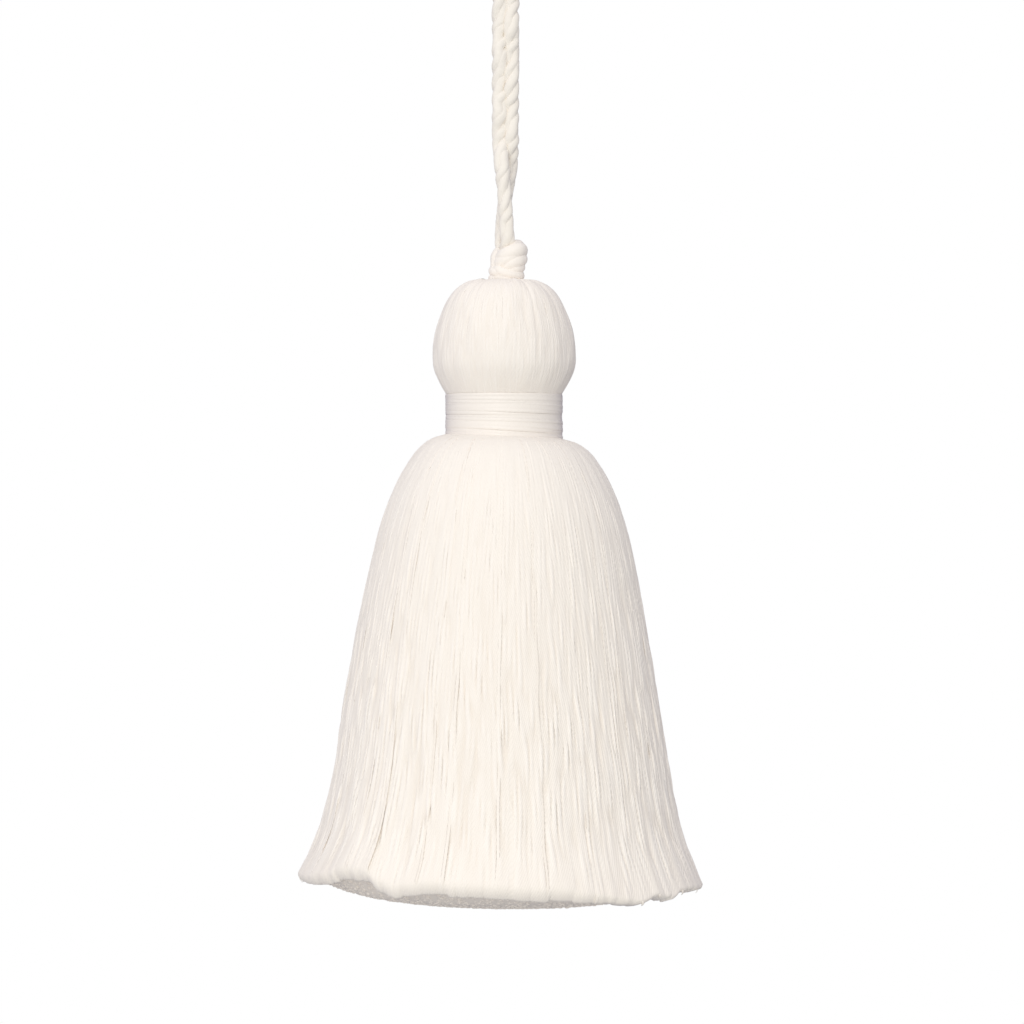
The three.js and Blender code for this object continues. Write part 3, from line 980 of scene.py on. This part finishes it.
def rim_softness(angle):
    """How softly the rim turns in to the underside at angles round it."""
    return straight_rows(RIM_SOFTNESS, np.degrees(angle) % 360)


def rim_rounding(angle, at):
    """How far the surface turns in at the rim, at each angle and place along the yarns."""
    soft = rim_softness(angle)[:, None]
    height = (1 - at) * line_length(SKIRT_LINE)
    t = RIM_TURN * np.clip(1 - height / (RIM_HEIGHT * soft), 0, 1)
    return RIM_DEPTH * soft * (1 - np.sqrt(1 - t**2)) / (1 - math.sqrt(1 - RIM_TURN**2))


def sheet_depth(at):
    """How deep the sheet lies along the yarns, before it is grooved."""
    shoulder, ends = SHEET_DEPTH
    return shoulder + (ends - shoulder) * at


def skirt_steps(rows):
    """Places along a yarn, closer together at its tip."""
    tips = 1 - np.array(TIP_HEIGHTS) / line_length(SKIRT_LINE)
    return np.concatenate([np.linspace(0, EVEN_ROWS_END, rows), tips])


def skirt_paths(locks, angle, depth, at, sway_size=0.0):
    """Lines down the skirt at given angles and depths under its surface.

    With a sway they are loose yarns with uneven tips, and without one they are a sheet's lines.
    """
    total = len(angle)
    drop, radius = line_at(SKIRT_LINE, at)
    to_side, to_top = outward_slope(drop, radius)
    number, half, across = locks.find(angle)
    below = np.clip(drop / SKIRT_DROP, 0, 1)
    gather = smooth_step(*GATHER_SPAN, below)
    loose = 1 - rim_softness(angle)
    tip = rim_drop(locks, angle)
    if sway_size:
        spread = TIP_SPREAD + TIP_LOOSE_SPREAD * loose
        tip = tip - TIP_SHORT + TIP_LOOSE * loose + rng.normal(0, 1, total) * spread
    else:
        tip = tip - LOOSE_LENGTH * loose
    stretch = (tip - SKIRT_DROP)[:, None] * below
    inset = depth + (LOCK_ROUNDING * across**2)[:, None] * gather
    reach = radius - inset * to_side
    tilt = SHOULDER_TILT * np.exp(-np.maximum(drop, 0) / SHOULDER_FADE)
    low = drop + stretch + inset * np.maximum(to_top, 0) + tilt * np.cos(angle)[:, None]
    sway = wander(total, at, sway_size, SWAY_WAVES) + locks.sway[number][:, None] * gather
    sway = sway - (across * half * locks.pull[number] * SKIRT_RADIUS)[:, None] * gather
    turn = angle[:, None] + sway / np.maximum(reach, SKIRT_SWAY_REACH)
    lean = straight_rows(SKIRT_LEAN, drop)
    return np.stack([reach * np.cos(turn) + lean, reach * np.sin(turn), BINDING_BOTTOM - low], axis=-1)


def make_sheet(locks, material):
    """A closed sheet of yarn with soft grooves, which turns in at the rim."""
    at = skirt_steps(SHEET_ROWS)
    angle = around_axis(SHEET_COLUMNS)
    groove = sheet_grooves(angle, at, GROOVE_RANGE)
    strength = straight_rows(GROOVE_DEPTH, at)
    depth = sheet_depth(at) + rim_rounding(angle, at) + groove * strength
    outer = skirt_paths(locks, angle, depth, at)
    lining = skirt_paths(locks, angle, np.full((SHEET_COLUMNS, 1), RIM_DEPTH + LINING_GAP), at[::LINING_STEP])
    # Painted shade deepens the tone in the skirt's grooves, and painted light pales it on the ridges
    tones = painted_groove_shade(groove, GROOVE_PAINTED_SHADE * strength / strength.max())
    # Painted light makes the yarn paler at the shoulder
    tones = tones + SHOULDER_PAINTED_LIGHT * (1 - smooth_step(0, SHOULDER_PAINTED_LIGHT_END, at))
    tubes = Tubes()
    tubes.add_sheet(outer, lining, SHEET_YARNS, tones)
    return tubes.make("skirt_sheet", material)


def make_loose_yarns(name, start, locks, material):
    """The loose yarns on half of the skirt, from an angle on."""
    each = (LOOSE_YARNS, 1)
    at = skirt_steps(LOOSE_ROWS)
    sheet = sheet_depth(at) - LOOSE_LEVEL * straight_rows(GROOVE_DEPTH, at)
    angle = start + yarn_angles(LOOSE_YARNS) / 2
    rise = wander(LOOSE_YARNS, at, LOOSE_RISE, LOOSE_RISE_WAVES)
    rise = rise + wander(LOOSE_YARNS, at, LOOSE_RISE, LOOSE_SHAKE_WAVES)
    rise = rise + rng.uniform(-LOOSE_STAGGER, LOOSE_STAGGER, each)
    sunk = rng.uniform(*LOOSE_SINK, each) * rim_softness(angle)[:, None] * smooth_step(*SINK_SPAN, at)
    relief = straight_rows(LOOSE_RELIEF, at) * (LOOSE_HEIGHT + rise) * (1 - sunk)
    depth = sheet + LOOSE_RADIUS * LOOSE_FLATNESS - relief + rim_rounding(angle, at)
    paths = skirt_paths(locks, angle, depth, at, LOOSE_SWAY)
    widths = np.concatenate([np.ones(LOOSE_ROWS), TIP_WIDTHS])
    radii = LOOSE_RADIUS * rng.uniform(*LOOSE_SPREAD, each) * widths
    tubes = Tubes()
    tubes.add(paths, radii, PRESSED_SECTION, rng.uniform(0, 1, LOOSE_YARNS), LOOSE_FLATNESS)
    return tubes.make(name, material)


# The underside

def under_reach(angle, share):
    """Distance from the axis at shares of the way from the underside's middle to its edge."""
    return (SKIRT_RADIUS - UNDER_INSET - UNDER_SOFT_INSET * rim_softness(angle)) * share


def under_drop(locks, angle, share):
    """How far below the binding the underside is, at shares of the way from its middle to its edge."""
    loose = 1 - rim_softness(angle)
    level = SKIRT_DROP + UNDER_TILT * share * np.cos(angle - UNDER_TURN)
    rim = rim_drop(locks, angle) - LOOSE_LENGTH * loose
    crown = UNDER_CROWN * (1 - share**CROWN_POWER) - UNDER_RISE
    lift = LOOSE_LIFT * loose * smooth_step(*UNDER_LIFT_SPAN, share)
    return level + (rim - level) * smooth_step(*UNDER_RIM_SPAN, share) + crown - lift


def under_points(angle, reach, drop):
    return np.stack([reach * np.cos(angle) + RIM_LEAN, reach * np.sin(angle), BINDING_BOTTOM - drop], axis=-1)


def add_underside(tubes, locks):
    angle = around_axis(UNDER_COLUMNS)[:, None]
    inward = np.linspace(1, UNDER_MIDDLE, UNDER_ROWS)
    share = np.concatenate([inward, np.linspace(UNDER_MIDDLE, 1, UPPER_ROWS)])
    drop = under_drop(locks, angle, share)
    drop[:, UNDER_ROWS:] -= UNDER_THICKNESS
    reach = under_reach(angle, share)
    reach[:, UNDER_ROWS:] *= UPPER_REACH
    tubes.add_shell(under_points(angle, reach, drop), UNDER_COLUMNS)


def add_stubs(tubes, locks):
    number = np.arange(STUBS) + 0.5
    share = STUB_REACH * np.sqrt(number / STUBS) + rng.uniform(-STUB_SCATTER, STUB_SCATTER, STUBS)
    angle = number * GOLDEN_ANGLE + rng.normal(0, STUB_TURN, STUBS)
    low = under_drop(locks, angle, share) + rng.normal(STUB_HEIGHT, STUB_HEIGHT_SPREAD, STUBS)
    low = low + np.where(rng.random(STUBS) < LONG_STUBS, rng.uniform(*LONG_STUB_HEIGHTS, STUBS), 0)
    tips = under_points(angle, under_reach(angle, share), low)
    paths = tips[:, None] + np.array(STUB_LEVELS)[:, None] * (0, 0, 1)
    radii = rng.uniform(*STUB_RADII, (STUBS, 1)) * np.array(STUB_WIDTHS)
    tubes.add(paths, radii, ROUND_SECTION, rng.uniform(0, 1, STUBS))


def make_ends(locks, material):
    """A closed shell for the underside, and the cut ends that stand out of it."""
    tubes = Tubes()
    add_underside(tubes, locks)
    add_stubs(tubes, locks)
    return tubes.make("skirt_ends", material)


# Stage, light and camera

def make_camera():
    data = bpy.data.cameras.new("camera")
    data.sensor_width = SENSOR
    data.lens = SENSOR * CAMERA_DISTANCE / (PHOTO_SIZE * PIXEL)
    camera = bpy.data.objects.new("camera", data)
    bpy.context.scene.collection.objects.link(camera)
    middle = PHOTO_SIZE / 2
    across = (middle - AXIS_PIXEL) * PIXEL
    camera.location = (across * MM, -CAMERA_DISTANCE * MM, (PHOTO_TOP - middle * PIXEL) * MM)
    camera.rotation_euler = (math.pi / 2, 0, 0)
    bpy.context.scene.camera = camera


def make_key_light():
    data = bpy.data.lights.new("key", "AREA")
    data.shape = "DISK"
    data.size = KEY_SIZE
    data.energy = KEY_POWER
    light = bpy.data.objects.new("key", data)
    light.location = KEY_PLACE
    light.rotation_euler = (Vector(KEY_TARGET) - Vector(KEY_PLACE)).to_track_quat("-Z", "Y").to_euler()
    light.visible_camera = False
    bpy.context.scene.collection.objects.link(light)


def make_floor():
    mesh = bpy.data.meshes.new("floor")
    angles = around_axis(FLOOR_SIDES)
    rim = [(FLOOR_RADIUS * math.cos(angle), FLOOR_RADIUS * math.sin(angle), FLOOR_LEVEL) for angle in angles]
    mesh.from_pydata(rim, [], [tuple(range(len(rim)))])
    floor = bpy.data.objects.new("floor", mesh)
    bpy.context.scene.collection.objects.link(floor)
    pale = bpy.data.materials.new("pale_floor")
    surface = Nodes(pale).tree.nodes["Principled BSDF"]
    surface.inputs["Base Color"].default_value = (FLOOR_TONE, FLOOR_TONE, FLOOR_TONE, 1)
    surface.inputs["Roughness"].default_value = FLOOR_ROUGHNESS
    mesh.materials.append(pale)


def make_surroundings():
    """White ground behind the tassel, and soft light that is strongest in front, on the left and above."""
    world = bpy.data.worlds.new("studio")
    bpy.context.scene.world = world
    nodes = Nodes(world)
    direction = nodes.add("ShaderNodeTexCoord").outputs["Generated"]
    colour = nodes.add("ShaderNodeCombineColor")
    for socket, (level, *slope) in zip(colour.inputs, SKY_LIGHT):
        aim = nodes.add("ShaderNodeVectorMath", operation="DOT_PRODUCT")
        nodes.link(direction, aim.inputs[0])
        aim.inputs[1].default_value = slope
        nodes.link(nodes.math("MAXIMUM", nodes.math("ADD", aim.outputs["Value"], level), 0.0), socket)
    soft = nodes.tree.nodes["Background"]
    nodes.link(colour.outputs["Color"], soft.inputs["Color"])
    white = nodes.add("ShaderNodeBackground")
    white.inputs["Color"].default_value = (1, 1, 1, 1)
    mix = nodes.add("ShaderNodeMixShader")
    nodes.link(nodes.add("ShaderNodeLightPath").outputs["Is Camera Ray"], mix.inputs["Fac"])
    nodes.link(soft.outputs["Background"], mix.inputs[1])
    nodes.link(white.outputs["Background"], mix.inputs[2])
    nodes.link(mix.outputs["Shader"], nodes.tree.nodes["World Output"].inputs["Surface"])


def place(piece, node):
    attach(piece, "root")
    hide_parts(node)


def main():
    make_camera()
    cord_cotton = cotton("cord_cotton", CORD_COLOURS, plies=1, relief=0.04, fibre_scale=2600.0)
    # The knot's cotton is the cord's cotton painted paler, as painted light
    knot_painted_light_cotton = cotton("knot_painted_light_cotton", KNOT_PAINTED_LIGHT_COLOURS, plies=1, relief=0.04, fibre_scale=2600.0)
    yarn_cotton = cotton("yarn_cotton", YARN_COLOURS, plies=2, relief=0.065)
    # The head's cotton is the skirt's yarn painted darker, as painted shade
    head_painted_shade_cotton = cotton("head_painted_shade_cotton", HEAD_PAINTED_SHADE_COLOURS, plies=2, relief=0.025)
    thread_cotton = cotton("thread_cotton", THREAD_COLOURS, plies=2, relief=0.03, gloss=1.0, roughness=0.26)
    # The cut ends' cotton is painted darker, as painted shade under the skirt
    end_painted_shade_cotton = cotton("end_painted_shade_cotton", END_PAINTED_SHADE_COLOURS, plies=2, relief=0.02)
    cord, path, length = make_cord(cord_cotton)
    knot = make_knot(knot_painted_light_cotton)
    place(cord, "hanging_cord")
    place(knot, "loop_knot")
    place(make_head(head_painted_shade_cotton), "yarn_bundle")
    place(make_binding(thread_cotton), "neck_binding")
    locks = Locks()
    place(make_sheet(locks, yarn_cotton), "yarn_bundle")
    place(make_loose_yarns("skirt_front", math.pi, locks, yarn_cotton), "yarn_bundle")
    place(make_loose_yarns("skirt_back", 0.0, locks, yarn_cotton), "yarn_bundle")
    place(make_ends(locks, end_painted_shade_cotton), "yarn_bundle")
    make_floor()
    make_surroundings()
    make_key_light()
    bpy.context.scene.view_settings.view_transform = "Standard"


main()
